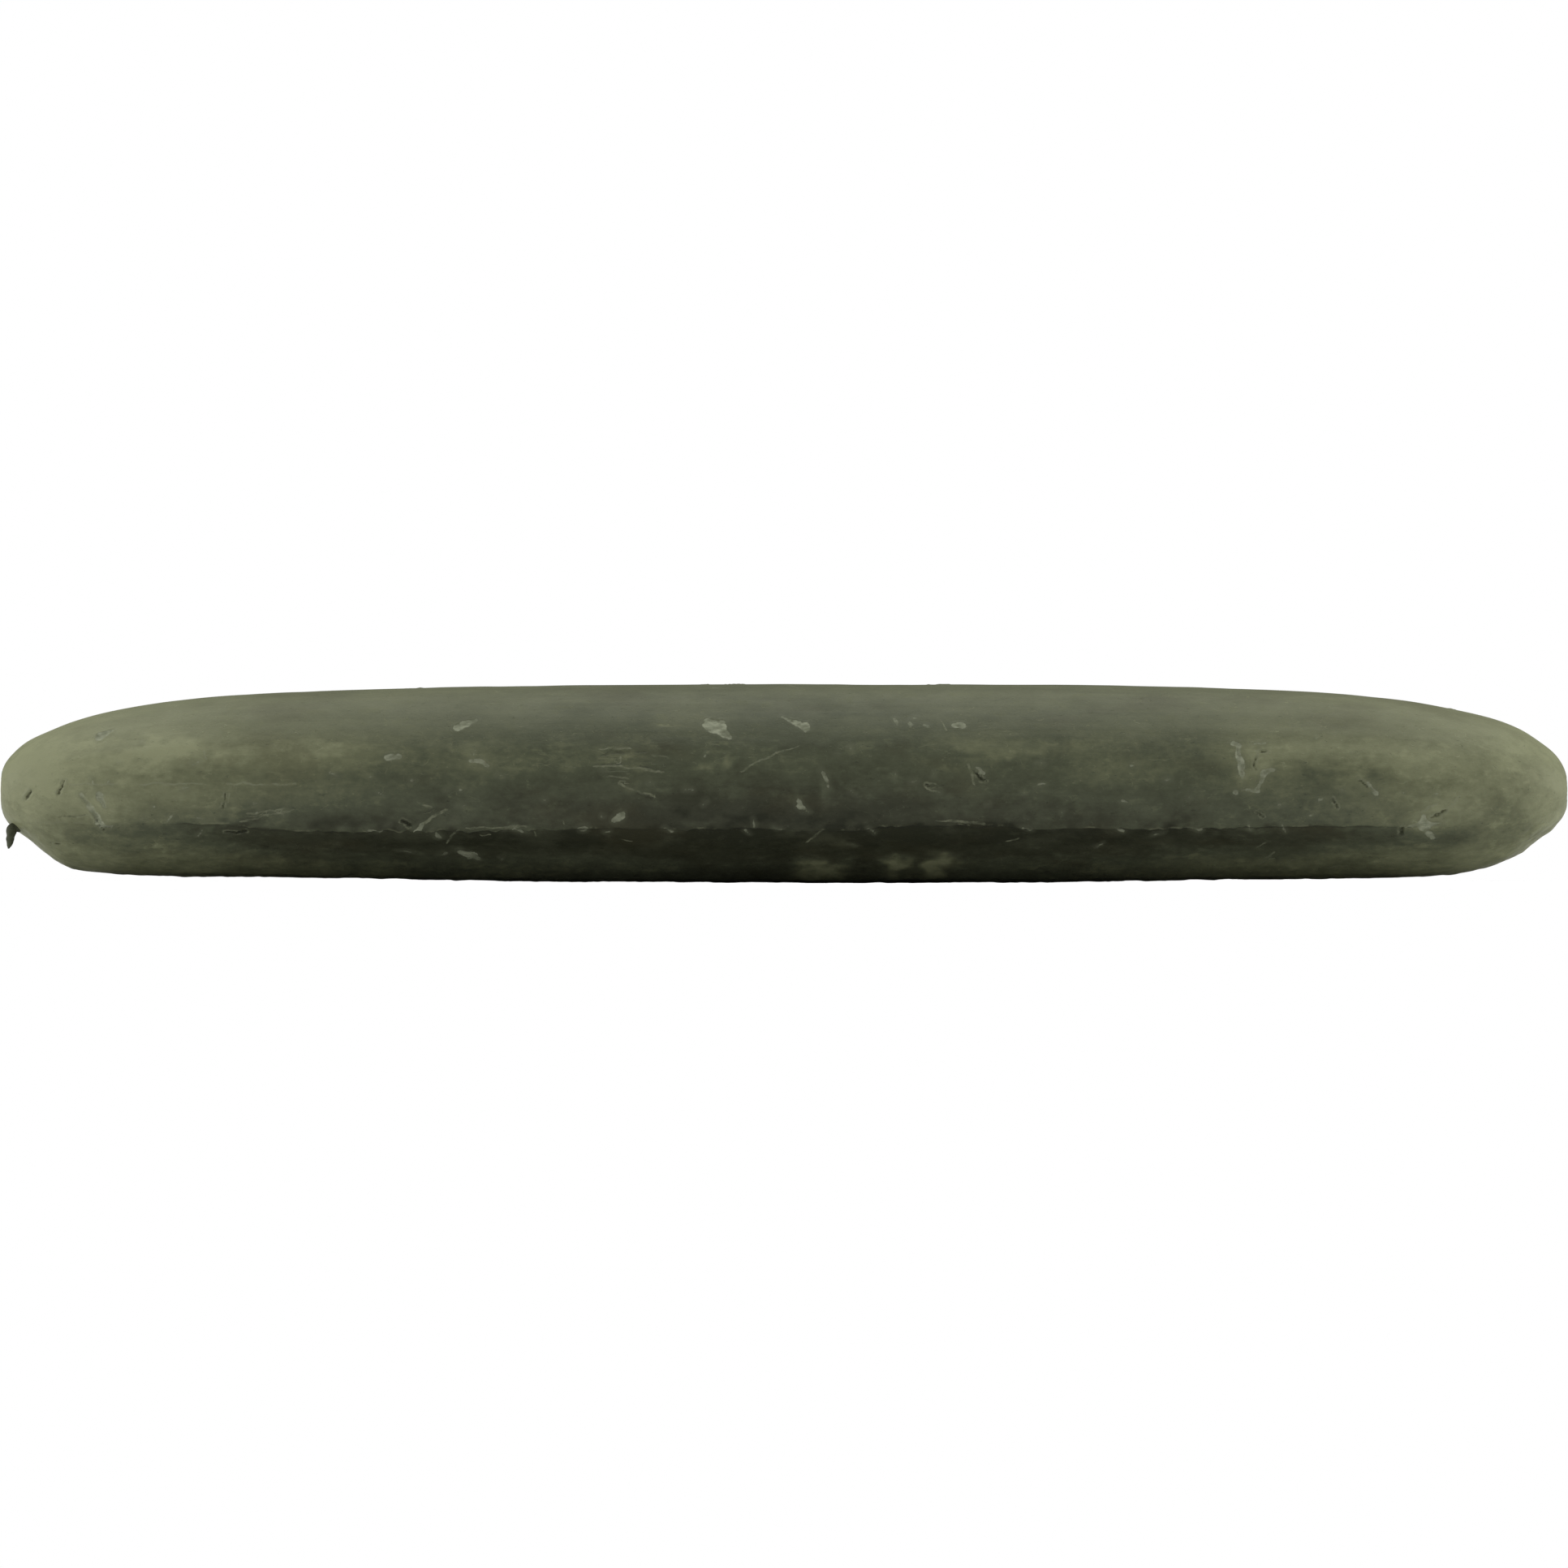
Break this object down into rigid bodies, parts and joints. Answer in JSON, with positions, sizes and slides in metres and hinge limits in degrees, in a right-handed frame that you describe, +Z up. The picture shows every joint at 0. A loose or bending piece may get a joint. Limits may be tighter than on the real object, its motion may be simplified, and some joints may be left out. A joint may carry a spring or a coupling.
{
  "type": "blending stump",
  "caption": "Cigar-shaped stick of tightly rolled, pasted paper with two worn round noses and a free edge along its side, for smudging drawings.",
  "frame": {"origin": "middle of the bounding box in plan, on the surface that the stump rests on", "axes": "+X along the stick towards the nose without the torn shred, +Z up from the rest flat, -Y the side with the free edge"},
  "size_m": [0.1272, 0.0166, 0.0161],
  "materials": {
    "burnished_paper": "dark green-grey stiff paper, burnished to a satin skin and soiled with graphite",
    "filling_paper": "matte grey-green stiff paper, wound tight",
    "dried_paste": "thin dried starch paste, dull amber"
  },
  "bodies": {
    "root": {"starter_roll": "filling_paper", "starter_splice_paste": "dried_paste", "inner_strip": "filling_paper", "inner_splice_paste": "dried_paste", "middle_strip": "filling_paper", "outer_head_paste": "dried_paste", "outer_sheet": "burnished_paper", "lap_paste": "dried_paste"}
  },
  "joints": []
}
